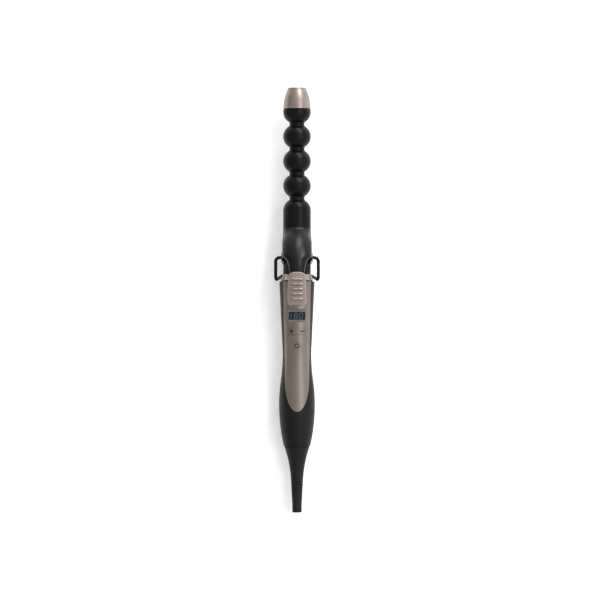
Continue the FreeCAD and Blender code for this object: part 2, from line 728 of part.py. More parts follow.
def make_thumb_rest():
    """Ribbed pad with a pocket for the fin's end, and the two screws that hold it."""
    side = pad("ThumbSide", "YZ_Plane", [
        ("-1 * thumb_top_back", "thumb_top - 1.2"), ("-1 * thumb_top_front", "thumb_top"),
        ("-1 * thumb_foot_front", "thumb_foot + 1.2"), ("-1 * thumb_foot_back", "thumb_foot")],
        "2 * thumb_half_width", True)
    front = pad("ThumbFront", "XZ_Plane", [
        ("-1 * thumb_half_width", "thumb_corner"),
        ("-1 * thumb_flat_half", "thumb_foot - 0.4", "thumb_foot_curve", 1),
        ("thumb_flat_half", "thumb_foot - 0.4"), ("thumb_half_width", "thumb_corner"),
        ("thumb_half_width", "thumb_spring", "thumb_crown_curve", 1), ("thumb_crown_half", "thumb_top + 0.5"),
        ("-1 * thumb_crown_half", "thumb_top + 0.5", "thumb_crown_curve", 1),
        ("-1 * thumb_half_width", "thumb_spring")], "60")
    rib = rod("ThumbRib", "rib_radius", "2 * rib_half_length", "-1 * rib_half_length", "0", "0", ALONG_X)
    rib_places = []
    for k in range(RIBS):
        drop = thumb_lean() * amount(f"thumb_top - rib_first - {k} * rib_pitch")
        rib_places.append(("0", f"-1 * thumb_top_front + 0.1 - {drop:.4f}", f"rib_first + {k} * rib_pitch"))
    ribs = copies("ThumbRibs", rib, rib_places)
    pocket = block("ThumbPocket", "-1 * pocket_half", "-1 * fin_end_front - 0.2", "fin_end - 0.2",
                   "2 * pocket_half", "3.1", "12")
    mouth = block("ThumbMouth", "-1 * pocket_half", "-1 * fin_end_front - 0.2", "fin_step - 0.2",
                  "2 * pocket_half", "4.6", "6")
    access = thumb_screw_rods("ThumbAccess", "thumb_screw_head + 0.1", "-34.8", "4.8")
    pilots = thumb_screw_rods("ThumbPilots", "thumb_screw_radius + 0.05", "-38", "8")
    body = common("ThumbBlock", side, front)
    piece("thumb_rest", cut("ThumbRest", fuse("ThumbRibbed", body, ribs), pocket, mouth, access, pilots))
    head_start = "thumb_screw_seat - 1.5"
    screw = turned("ThumbScrew", [
        ("0", head_start), ("thumb_screw_head", head_start), ("thumb_screw_head", "thumb_screw_seat"),
        ("thumb_screw_radius", "thumb_screw_seat"), ("thumb_screw_radius", "thumb_screw_end"),
        ("0", "thumb_screw_end")])
    put(screw, turn=TO_FRONT)
    piece("thumb_screws", copies("ThumbScrews", screw, [
        ("thumb_screw_offset", "0", "thumb_screw_height"),
        ("-1 * thumb_screw_offset", "0", "thumb_screw_height")]))


def thumb_lean():
    """How far the pad's face comes forward for each millimetre towards the tail."""
    return amount("thumb_foot_front - thumb_top_front") / amount("thumb_top - thumb_foot - 1.2")


def make_spring():
    """Leaf spring: held in the fin's hollow, its free end bears on the barrel below the pivot."""
    back = "-1 * spring_front + spring_thick"
    piece("clip_spring", pad("ClipSpring", "YZ_Plane", [
        (back, "spring_top"), (back, "spring_bend"), ("-1 * spring_touch_front + 0.45", "spring_touch"),
        ("-1 * spring_lip_front + spring_thick", "spring_lip"), ("-1 * spring_lip_front", "spring_lip + 0.1"),
        ("-1 * spring_touch_front", "spring_touch"), ("-1 * spring_front", "spring_bend - 0.1"),
        ("-1 * spring_front", "spring_top")], "spring_width", True))


# --- stand ------------------------------------------------------------------------------------------------

def bent_path(points, radii):
    """Straight runs joined by tangent arcs: one radius for each inner point."""
    edges = []
    start = points[0]
    for before, corner, after, radius in zip(points, points[1:], points[2:], radii):
        into = (corner - before).normalize()
        out = (after - corner).normalize()
        turn = into.getAngle(out)
        reach = radius * math.tan(turn / 2)
        first, last = corner - into * reach, corner + out * reach
        inward = (out - into).normalize()
        middle = corner + inward * (radius / math.cos(turn / 2) - radius)
        edges += [Part.LineSegment(start, first).toShape(), Part.Arc(first, middle, last).toShape()]
        start = last
    edges.append(Part.LineSegment(start, points[-1]).toShape())
    return Part.Wire(edges)


def make_stand():
    """Bent wire: its two ends turn in the hollow pins, and its bar crosses behind the collar."""
    wide, drop = amount("stand_half_width"), amount("stand_drop")
    pivot, back = amount("pivot_height"), amount("stand_back")
    half = [Vector(amount("wire_end"), 0, pivot), Vector(wide, 0, pivot), Vector(wide, 0, drop),
            Vector(amount("stand_back_half"), back, amount("stand_back_height"))]
    points = half + [Vector(-p.x, p.y, p.z) for p in reversed(half)]
    radii = [amount("stand_top_corner"), amount("stand_low_corner"), amount("stand_back_corner")]
    path = bent_path(points, radii + radii[::-1])
    ring = Part.Wire(Part.makeCircle(amount("wire_radius"), points[0], Vector(1, 0, 0)))
    wire = doc.addObject("Part::Feature", "StandWire")
    wire.Shape = path.makePipeShell([ring], True, False)
    print("stand wire volume over section times length:",
          wire.Shape.Volume / (math.pi * amount("wire_radius") ** 2 * path.Length))
    piece("stand_wire", wire)


# --- handle -----------------------------------------------------------------------------------------------

def handle_blank(name, inset):
    """The handle's round waisted outline as a solid, smaller by the inset."""
    less = " - " + inset
    return turned(name, [
        ("0", "tail"), ("tail_radius" + less, "tail", "tail_curve", 1),
        ("belly_radius" + less, "belly", "belly_curve", 1),
        ("belly_end_radius" + less, "belly_end", "waist_curve", -1),
        ("waist_radius" + less, "waist", "flare_curve", -1),
        ("waist_end_radius" + less, "waist_end"), ("handle_top_radius" + less, "handle_top"),
        ("0", "handle_top")])


def panel_tool(name, slack):
    """The front panel's outline, cut through the handle's front half: tapered sides and an oval end."""
    sides = pad(name + "Sides", "XZ_Plane", [
        ("-1 * panel_foot_half - " + slack, "panel_shoulder"),
        ("panel_foot_half + " + slack, "panel_shoulder"), ("panel_top_half + " + slack, "handle_top + 1"),
        ("-1 * panel_top_half - " + slack, "handle_top + 1")], "30")
    oval = bind(doc.addObject("Part::Ellipse", name + "Oval"), MajorRadius="panel_round + " + slack,
                MinorRadius="panel_foot_half + " + slack)
    put(oval, z="panel_shoulder", turn=Rotation(Vector(0, 0, 1), Vector(1, 0, 0), Vector(0, 1, 0), "XZY"))
    end = doc.addObject("Part::Extrusion", name + "End")
    end.Base = oval
    end.DirMode = "Custom"
    end.Dir = Vector(0, -1, 0)
    end.LengthFwd = 30
    end.Solid = True
    return fuse(name, sides, end)


def arch_tool(name, slack):
    """Two arched tongues, left and right, above the tail's ring."""
    half, rise = "arch_half + " + slack, "arch_start + arch_rise + " + slack
    arches = pad(name + "Arches", "YZ_Plane", [
        ("-1 * arch_half - " + slack, "tail - 1"), (half, "tail - 1"),
        (half, "arch_start", "arch_half + 0.3", 1), ("0", rise, "arch_half + 0.3", 1),
        ("-1 * arch_half - " + slack, "arch_start")], "60", True)
    ring = rod(name + "Ring", "20", "cap_top - tail + 1 + " + slack, z="tail - 1")
    return fuse(name, arches, ring)


def make_shells():
    """Handle body, tail cap and front panel: one waisted skin divided by its seams."""
    skin = cut("HandleSkin", handle_blank("HandleOuter", "0"), handle_blank("HandleInner", "handle_wall"))
    panel = panel_tool("PanelTool", "0")
    arches = arch_tool("ArchTool", "0")
    gaps = [panel_tool("PanelGap", "seam"), arch_tool("ArchGap", "seam")]
    piece("handle_body", cut("HandleBody", skin, *gaps))
    floor = tube("CapFloor", "bush_outer", "tail_radius - 0.5", "tail", "cap_floor_top")
    cap = common("CapSkin", skin, arches)
    piece("tail_cap", fuse("TailCap", cap, floor))
    make_panel(skin, panel)


def make_panel(skin, panel):
    """Front panel: a flat step for the window, openings for the keys, two lugs for the rocker's pin."""
    wall = common("PanelWall", skin, panel)
    backing = common("PanelBacking", handle_blank("PanelBlank", "0.05"), block(
        "BackingBlock", "-9", "-1 * facet_depth", "facet_start - 1.5",
        "18", "1.8", "facet_end - facet_start + 3"))
    step = pad("FacetCut", "YZ_Plane", [
        ("-1 * facet_depth", "facet_start + 0.5"), ("-1 * facet_depth", "facet_end - 0.5"),
        ("-20", "facet_end + 0.5"), ("-20", "facet_start - 0.5")], "40", True)
    window = block("WindowHole", "-0.5 * window_width - 0.1", "-20",
                   "window_height - 0.5 * window_tall - 0.1", "window_width + 0.2", "20", "window_tall + 0.2")
    rocker = pill("RockerHole", "key_gap")
    power = rod("PowerHole", "power_radius + key_gap", "12", "0", "-8", "power_height", TO_FRONT)
    face = cut("PanelFace", fuse("PanelWhole", wall, backing), step, window, rocker, power)
    lugs = [block(name, "-1.8", "-1 * rocker_axis - 3.3", foot, "3.6", "4.9", "1")
            for name, foot in (("LowLug", "rocker_height - 4.4"), ("HighLug", "rocker_height + 3.4"))]
    pin_hole = rod("LugHole", "rocker_pin + running_gap", "10", "0", "-1 * rocker_axis", "rocker_height - 5")
    piece("control_panel", cut("ControlPanel", fuse("PanelWithLugs", face, *lugs), pin_hole))
    piece("display_window", block(
        "DisplayWindow", "-0.5 * window_width", "-1 * facet_depth + 0.1", "window_height - 0.5 * window_tall",
        "window_width", "window_thick", "window_tall"))


def pill(name, slack):
    """The rocker's outline cut straight through to the front."""
    round_end = "0.5 * rocker_tall + " + slack
    side = "rocker_half - 0.5 * rocker_tall"
    other_side = "-1 * rocker_half + 0.5 * rocker_tall"
    low = "rocker_height - 0.5 * rocker_tall - " + slack
    high = "rocker_height + " + round_end
    return pad(name, "XZ_Plane", [
        (other_side, low), (side, low, round_end, 1),
        ("rocker_half + " + slack, "rocker_height", round_end, 1), (side, high),
        (other_side, high, round_end, 1),
        ("-1 * rocker_half - " + slack, "rocker_height", round_end, 1)], "20")


def make_keys():
    """Rocker on its pin and power key, each with a foot that reaches its switch."""
    face = handle_blank("KeyFace", "-1 * key_proud")
    head = common("RockerHead", face, cut("RockerPill", pill("RockerOutline", "0"), block(
        "RockerUnder", "-12", "-1 * rocker_under", "150", "24", "12", "30")))
    foot = rod("RockerFoot", "key_foot_radius", "key_foot_length", "0", "0", "0", TO_FRONT)
    feet = copies("RockerFeet", foot, [
        ("rocker_foot", "-8.2", "rocker_height"), ("-1 * rocker_foot", "-8.2", "rocker_height")])
    pin = rod("RockerPin", "rocker_pin", "8.6", "0", "-1 * rocker_axis", "rocker_height - 4.3")
    web = block("RockerWeb", "-1 * rocker_pin", "-1 * rocker_under - 0.4", "rocker_height - 2.7",
                "2 * rocker_pin", "rocker_under - rocker_axis + 0.4", "5.4")
    piece("rocker_button", fuse("RockerButton", head, feet, pin, web))
    power_rod = rod("PowerRod", "power_radius", "8", "0", "-1 * rocker_under + 0.4", "power_height", TO_FRONT)
    stem = rod("PowerFoot", "key_foot_radius", "key_foot_length", "0", "-8.35", "power_height", TO_FRONT)
    piece("power_button", fuse("PowerButton", common("PowerHead", face, power_rod), stem))


# --- board ------------------------------------------------------------------------------------------------

def make_board():
    """Circuit board with its parts, on a carrier plate that fits across the handle."""
    screw_places = [("0", "0", "board_start + 4"), ("0", "0", "board_end - 5")]
    plate = block("BoardPlate", "-0.5 * board_width", "-1 * board_front", "board_start",
                  "board_width", "board_thick", "board_end - board_start")
    holes = copies("BoardHoles", rod("BoardHole", "board_screw_radius + 0.3", "4", "0", "-3", "0", TO_FRONT),
                   screw_places)
    piece("circuit_board", cut("CircuitBoard", plate, holes))
    flat = block("CarrierPlate", "-16", "-1 * board_front + board_thick + 0.05", "board_start - 3",
                 "32", "carrier_thick", "board_end - board_start + 5")
    window = block("CarrierWindow", "-6", "-6", "board_start + 8", "12", "6", "78")
    pilot = rod("CarrierPilot", "board_screw_radius", "3", "0", "-1.5", "0", TO_FRONT)
    pilots = copies("CarrierPilots", pilot, screw_places)
    inside = handle_blank("CarrierBlank", "handle_wall - carrier_gap")
    piece("board_carrier", cut("BoardCarrier", common("CarrierWhole", flat, inside), window, pilots))
    head_top = "board_front + 1.2"
    screw = turned("BoardScrew", [
        ("0", "board_screw_end"), ("board_screw_radius", "board_screw_end"),
        ("board_screw_radius", "board_front + fit_gap"), ("board_screw_head", "board_front + fit_gap"),
        ("board_screw_head", head_top), ("0", head_top)])
    put(screw, turn=TO_FRONT)
    piece("board_screws", copies("BoardScrews", screw, screw_places))
    make_board_parts()


def on_board(name, width, tall, long, z):
    """A box on the board's front, centred across the wand at that height."""
    return block(name, "-0.5 * " + width, f"-1 * board_front - {tall}", f"{z} - 0.5 * {long}",
                 width, tall, long)


def behind_board(name, width, gap, tall, long, z):
    """A box on the board's back, or a gap behind it, whose foot is at that height."""
    return block(name, "-0.5 * " + width, "-1 * board_front + board_thick + " + gap, z, width, tall, long)


def make_board_parts():
    """Display module, switches, controller, triac and capacitor."""
    piece("display_module", on_board(
        "DisplayModule", "module_width", "module_tall", "module_long", "window_height"))
    switch_case = block("SwitchCase", "-0.5 * switch_size", "-1 * board_front - switch_tall",
                        "-0.5 * switch_size", "switch_size", "switch_tall", "switch_size")
    switch_top = rod("SwitchTop", "key_foot_radius", "0.7",
                     "0", "-1 * board_front - switch_tall", "0", TO_FRONT)
    piece("tact_switches", copies("TactSwitches", fuse("Switch", switch_case, switch_top), [
        ("rocker_foot", "0", "rocker_height"), ("-1 * rocker_foot", "0", "rocker_height"),
        ("0", "0", "power_height")]))
    piece("microcontroller", on_board(
        "Microcontroller", "chip_size", "chip_tall", "chip_size", "chip_height"))
    tab = behind_board("TriacTab", "triac_width", "0", "tab_thick", "tab_long", "triac_height")
    case = behind_board("TriacCase", "triac_width", "tab_thick", "triac_thick", "triac_long", "triac_height")
    piece("triac", fuse("Triac", tab, case))
    piece("capacitor", behind_board("Capacitor", "capacitor_width", "0", "capacitor_tall", "capacitor_long",
                                    "capacitor_height"))


# --- tail and boot ----------------------------------------------------------------------------------------

def make_boot():
    """Swivelling boot: a ribbed relief, a smooth flared cone and a stem in the tail's bearing."""
    outline = turned("BootOutline", [
        ("cord_bore", "0"), ("relief_end_radius", "0"), ("relief_end_radius", "slot_first"),
        ("relief_top_radius", "relief_top", "boot_curve", -1), ("boot_top_radius", "boot_top"),
        ("stem_radius", "boot_top"), ("stem_radius", "stem_top"), ("cord_bore", "stem_top")])
    slot = block("BootSlot", "-8", "0", "0", "16", "4", "slot_tall")
    heights = [f"slot_first + {k} * slot_pitch" for k in range(int(SIZES["slot_count"]))]
    back = copies("BackSlots", slot, [("-8", "slot_depth", height) for height in heights])
    front = copies("FrontSlots", slot, [("-8", "-1 * slot_depth - 4", height) for height in heights])
    piece("strain_relief", cut("StrainRelief", outline, back, front))
    flange = "cap_floor_top + running_gap"
    piece("swivel_bush", turned("SwivelBush", [
        ("stem_radius + running_gap", "tail"), ("bush_outer - fit_gap", "tail"),
        ("bush_outer - fit_gap", flange), ("bush_flange", flange),
        ("bush_flange", "cap_floor_top + bush_flange_thick"),
        ("stem_radius + running_gap", "cap_floor_top + bush_flange_thick")]))
    piece("swivel_retainer", tube("SwivelRetainer", "stem_radius", "retainer_radius",
                                  "cap_floor_top + retainer_foot", "cap_floor_top + retainer_top"))
    make_slip_contacts()


def make_slip_contacts():
    """Two rings on the stem, the ring round them, its brushes and their leads to the board."""
    feet = ["first_slip_ring", "first_slip_ring + slip_ring_pitch"]
    rings = [tube(f"SlipRing{k}", "stem_radius", "slip_radius", foot, foot + " + slip_ring_tall")
             for k, foot in enumerate(feet)]
    piece("slip_rings", group("SlipRings", *rings))
    holder = tube("HolderBody", "holder_inner", "holder_outer", "holder_start", "holder_end")
    pockets, brushes = [], []
    brush_places = ["slip_radius + running_gap", "-1 * slip_radius - running_gap - brush_length"]
    for k, (foot, pocket_x, brush_x) in enumerate(zip(feet, ("0", "-20"), brush_places)):
        pockets.append(block(f"BrushPocket{k}", pocket_x, "-0.5 * brush_size - 0.05", foot + " + 0.25",
                             "20", "brush_size + 0.1", "brush_size + 0.1"))
        brushes.append(block(f"Brush{k}", brush_x, "-0.5 * brush_size", foot + " + 0.3",
                             "brush_length", "brush_size", "brush_size"))
    piece("brush_holder", cut("BrushHolder", holder, *pockets))
    piece("brush_contacts", group("BrushContacts", *brushes))
    lead = rod("MainsLead", "wire_insulation", "mains_lead_length", z="holder_end")
    piece("mains_leads", copies("MainsLeads", lead, [
        ("mains_lead_spread", "-1 * lead_offset", "0"), ("-1 * mains_lead_spread", "-1 * lead_offset", "0")]))


# --- whole wand -------------------------------------------------------------------------------------------

def lay_down():
    """Turn every piece from the wand's own frame onto its back, resting on the stand and the belly."""
    belly_back, wire_back = amount("belly_radius"), amount("stand_back + wire_radius")
    tilt = math.degrees(math.atan2(wire_back - belly_back, amount("stand_back_height - belly")))
    flat = Rotation(Vector(0, -1, 0), Vector(0, 0, -1), Vector(1, 0, 0), "ZXY")
    turn = Rotation(Vector(0, 1, 0), -tilt) * flat
    whole = FreeCAD.BoundBox()
    for item in pieces.values():
        shape = item.Shape.copy()
        shape.Placement = Placement(Vector(), turn) * shape.Placement
        whole.add(shape.optimalBoundingBox())
    shift = Vector(-whole.Center.x, 0, -whole.ZMin)
    laid = Placement(shift, turn)
    for item in pieces.values():
        item.Placement = laid * item.Placement
    print(f"laid down: tilt {tilt:.9f} deg, shift {shift.x:.6f} {shift.z:.6f} mm, box {whole}")


def check_and_write():
    doc.recompute()
    for item in doc.Objects:
        if "Invalid" in item.State or "Error" in item.State:
            raise RuntimeError(f"{item.Name} did not build: {item.State}")
    os.makedirs("parts", exist_ok=True)
    for label, item in pieces.items():
        shape = item.Shape
        if shape.isNull() or not shape.isValid() or not shape.Solids:
            raise RuntimeError(f"{label} has no valid solid")
        shape.exportStep(f"parts/{label}.step")
        print(f"{label}: {len(shape.Solids)} solids, {shape.Volume:.1f} mm3")


make_barrel()
make_tip()
make_heater()
make_pivot()
make_mount()
make_plate()
make_lever()
make_thumb_rest()
make_spring()
make_stand()
make_shells()
make_keys()
make_board()
make_boot()
doc.recompute()
lay_down()
check_and_write()
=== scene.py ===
"""Looks of a curling wand: bead barrel, lever clip, wire stand, display handle and swivelling boot.

Everything is placed in the wand's own directions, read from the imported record: along (tail to tip),
front (towards the keys) and across (to the right, seen from the front). Shapes are given in millimetres,
which MM turns into metres.
"""

import json
import math

import bmesh
import bpy
from mathutils import Matrix, Vector
from mathutils.bvhtree import BVHTree


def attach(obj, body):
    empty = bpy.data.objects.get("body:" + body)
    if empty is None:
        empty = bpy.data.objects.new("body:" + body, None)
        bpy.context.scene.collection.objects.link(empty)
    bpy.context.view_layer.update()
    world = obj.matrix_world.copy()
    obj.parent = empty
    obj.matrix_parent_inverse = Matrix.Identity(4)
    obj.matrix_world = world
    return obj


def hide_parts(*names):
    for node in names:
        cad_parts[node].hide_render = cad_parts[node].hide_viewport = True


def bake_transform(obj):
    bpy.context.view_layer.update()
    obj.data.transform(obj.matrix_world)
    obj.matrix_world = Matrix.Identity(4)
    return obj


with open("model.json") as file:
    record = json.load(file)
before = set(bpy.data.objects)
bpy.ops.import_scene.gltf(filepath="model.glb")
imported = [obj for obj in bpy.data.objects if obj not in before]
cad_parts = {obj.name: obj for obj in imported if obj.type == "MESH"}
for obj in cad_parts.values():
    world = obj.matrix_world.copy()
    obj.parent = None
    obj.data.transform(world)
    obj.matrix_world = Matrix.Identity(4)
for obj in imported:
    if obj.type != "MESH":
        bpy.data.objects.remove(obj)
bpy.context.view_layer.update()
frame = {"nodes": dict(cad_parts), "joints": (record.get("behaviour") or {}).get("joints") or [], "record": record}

MM = 0.001
record = frame["record"]
mounts = {mount["name"]: mount for mount in record["mounts"]}
joints = {joint["name"]: joint for joint in frame["joints"]}

LENGTH = 382 * MM
along = Vector(mounts["tip_face"]["axis"]).normalized()
front = -Vector(joints["power_press"]["axis"]).normalized()
across = along.cross(front)
tail = Vector(mounts["tip_face"]["pos_m"]) - along * LENGTH
pivot_height = (Vector(joints["clip_hinge"]["pos_m"]) - tail).dot(along) / MM


def at(x, f, z):
    """A point of the frame from millimetres across, in front of the axis and up from the tail."""
    return tail + (across * x + front * f + along * z) * MM


def reach(node):
    """Lowest and highest (across, front, along) of a CAD node, in millimetres."""
    places = [vertex.co - tail for vertex in frame["nodes"][node].data.vertices]
    sides = [[place.dot(way) / MM for place in places] for way in (across, front, along)]
    return [min(side) for side in sides], [max(side) for side in sides]


# --- camera, floor and light ----------------------------------------------------------------------

def make_camera():
    """Square on to the keys, the tip at the top, as the middle one of three views shows it."""
    lens, sensor, view_width = 250, 36, 540 * MM
    aim_across, aim_along = 2.7, 191.2
    distance = view_width * lens / sensor
    data = bpy.data.cameras.new("Camera")
    data.lens, data.sensor_width = lens, sensor
    camera = bpy.data.objects.new("Camera", data)
    bpy.context.scene.collection.objects.link(camera)
    place = at(aim_across, 0, aim_along) + front * distance
    basis = Matrix((across, along, front)).transposed()
    camera.matrix_world = Matrix.Translation(place) @ basis.to_4x4()
    bpy.context.scene.camera = camera
    bpy.context.scene.view_settings.view_transform = "Standard"


def make_floor():
    """White paper just below the wand. It glows a little, which keeps the ground white."""
    size, drop, glow = 12, 0.0002, 0.3
    bpy.ops.mesh.primitive_plane_add(size=size, location=(0, 0, -drop))
    floor = bpy.context.object
    floor.name = "floor"
    paper = surface("floor_paper", (0.93, 0.93, 0.93), 0.75, grain=0.02, grain_scale=900,
                    glow=((1, 1, 1), glow))
    floor.data.materials.append(paper)


LIT_PLACE = (0, 0, 0.02)
LAMPS = {  # place and size in metres, power in watts
    "key": ((1.65, -0.85, 1.25), (0.36, 0.6), 22),
    "front": ((2.2, -0.3, 0.55), (0.3, 0.8), 20),
    "side": ((0.0, -1.1, 1.95), (2.0, 1.0), 14),
    "fill": ((-0.5, 2.2, 1.3), (2.4, 1.4), 2.5),
}
# Brightness of the sky at shares of the way up and of the way to +Y; the two are multiplied.
SKY_LEVELS = {"Z": ((0, 1.25), (0.4, 0.98), (1, 0.78)), "Y": ((0, 1), (1, 0.25))}


def area_light(name, place, size, power):
    """A white softbox that faces the wand."""
    data = bpy.data.lights.new(name, "AREA")
    data.shape = "RECTANGLE"
    data.size, data.size_y = size
    data.energy = power
    light = bpy.data.objects.new(name, data)
    light.location = place
    light.rotation_euler = (Vector(LIT_PLACE) - Vector(place)).to_track_quat("-Z", "Y").to_euler()
    bpy.context.scene.collection.objects.link(light)


def make_lights():
    """A sky that dims overhead and towards +Y, and four softboxes."""
    world = bpy.data.worlds.new("Studio")
    world.use_nodes = True
    tree = world.node_tree
    way = tree.nodes.new("ShaderNodeTexCoord")
    parts = tree.nodes.new("ShaderNodeSeparateXYZ")
    tree.links.new(way.outputs["Generated"], parts.inputs["Vector"])
    product = tree.nodes.new("ShaderNodeVectorMath")
    product.operation = "MULTIPLY"
    for number, (part, levels) in enumerate(SKY_LEVELS.items()):
        ramp = tree.nodes.new("ShaderNodeValToRGB")
        stops = ramp.color_ramp.elements
        for share, _ in levels[1:-1]:
            stops.new(share)
        for stop, (_, level) in zip(stops, levels):
            stop.color = (level, level, level, 1)
        tree.links.new(parts.outputs[part], ramp.inputs["Fac"])
        tree.links.new(ramp.outputs["Color"], product.inputs[number])
    tree.links.new(product.outputs["Vector"], tree.nodes["Background"].inputs["Color"])
    bpy.context.scene.world = world
    for name, (place, size, power) in LAMPS.items():
        area_light(name, place, size, power)


# --- materials ------------------------------------------------------------------------------------

class Graph:
    """A material's nodes: add() makes one, sets its inputs and links those given as sockets."""

    def __init__(self, name):
        self.material = bpy.data.materials.new(name)
        self.material.use_nodes = True
        self.tree = self.material.node_tree
        self.shader = self.tree.nodes["Principled BSDF"]
        self.place = self.add("ShaderNodeTexCoord").outputs["Object"]

    def add(self, kind, inputs=(), **settings):
        node = self.tree.nodes.new(kind)
        for key, value in settings.items():
            setattr(node, key, value)
        for key, value in dict(inputs).items():
            self.put(node.inputs[key], value)
        return node

    def put(self, socket, value):
        if isinstance(value, bpy.types.NodeSocket):
            self.tree.links.new(value, socket)
        else:
            socket.default_value = value

    def noise(self, scale, detail, stretch=None):
        """Clouds from 0 to 1, finer with a larger scale."""
        place = self.place
        if stretch:
            place = self.add("ShaderNodeMapping", {"Vector": place, "Scale": stretch}).outputs["Vector"]
        made = self.add("ShaderNodeTexNoise", {"Vector": place, "Scale": scale, "Detail": detail})
        return made.outputs["Fac"]

    def spread(self, value, low, high, from_low=0.3, from_high=0.7):
        """A value from 0 to 1 spread between low and high."""
        made = self.add("ShaderNodeMapRange", {"Value": value, "From Min": from_low, "From Max": from_high,
                                               "To Min": low, "To Max": high})
        return made.outputs["Result"]

    def mix(self, share, first, second):
        """Two colours mixed: all first at a share of 0 and all second at 1."""
        made = self.add("ShaderNodeMix", data_type="RGBA")
        colours = [socket for socket in made.inputs if socket.type == "RGBA"]
        self.put(made.inputs["Factor"], share)
        self.put(colours[0], first)
        self.put(colours[1], second)
        return next(socket for socket in made.outputs if socket.type == "RGBA")

    def times(self, first, second):
        """The product of two values."""
        return self.add("ShaderNodeMath", {0: first, 1: second}, operation="MULTIPLY").outputs[0]

    def edges(self, radius):
        """1 on sharp edges and 0 on open faces, from how far a rounded normal leans off the real one."""
        sharp, flat = 0.80, 0.99  # cosines of the lean
        rounded = self.add("ShaderNodeBevel", {"Radius": radius}, samples=4).outputs["Normal"]
        real = self.add("ShaderNodeNewGeometry").outputs["Normal"]
        lean = self.add("ShaderNodeVectorMath", {0: rounded, 1: real}, operation="DOT_PRODUCT")
        return self.spread(lean.outputs["Value"], 1.0, 0.0, sharp, flat)

    def bump(self, height, strength, distance):
        """A normal that leans as if the height were really there."""
        made = self.add("ShaderNodeBump", {"Height": height, "Strength": strength, "Distance": distance})
        return made.outputs["Normal"]


def shade(colour, factor):
    """A colour made darker or lighter, with an alpha of 1."""
    return tuple(channel * factor for channel in colour) + (1,)


def surface(name, colour, roughness, metallic=0.0, grain=0.1, grain_scale=2500, stretch=None, mottle=0.06,
            wear=None, coat=0.0, sheen=0.0, specular=0.5, marks=0.06, glow=None):
    """A finish: fine grain bump, mottled colour, uneven roughness and, where asked, worn edges.

    mottle and marks say how far colour and roughness vary, wear is the colour of worn edges, stretch makes
    the grain longer one way, and glow is a colour and a strength.
    """
    cloud_scale, smear_scale, chip_scale, chip_from, chip_to = 90, 153, 900, 0.42, 0.62
    edge_radius, grain_depth, coat_roughness = 0.4 * MM, 0.05 * MM, 0.15
    graph = Graph(name)
    shader = graph.shader
    cloud = graph.noise(cloud_scale, 4.0)
    tone = graph.mix(graph.spread(cloud, 0, 1), shade(colour, 1 - mottle), shade(colour, 1 + mottle))
    rough = graph.spread(graph.noise(smear_scale, 5.0), roughness - marks, roughness + marks)
    if wear:
        chips = graph.spread(graph.noise(chip_scale, 4.0), 0, 1, chip_from, chip_to)
        worn = graph.times(graph.edges(edge_radius), chips)
        tone = graph.mix(worn, tone, shade(wear, 1))
    fine = graph.noise(grain_scale, 2.0, stretch)
    graph.put(shader.inputs["Base Color"], tone)
    graph.put(shader.inputs["Roughness"], rough)
    graph.put(shader.inputs["Normal"], graph.bump(fine, grain, grain_depth))
    shader.inputs["Metallic"].default_value = metallic
    shader.inputs["Coat Weight"].default_value = coat
    shader.inputs["Coat Roughness"].default_value = coat_roughness
    shader.inputs["Sheen Weight"].default_value = sheen
    shader.inputs["Specular IOR Level"].default_value = specular
    if glow:
        glow_colour, strength = glow
        shader.inputs["Emission Color"].default_value = shade(glow_colour, 1)
        shader.inputs["Emission Strength"].default_value = strength
    return graph.material


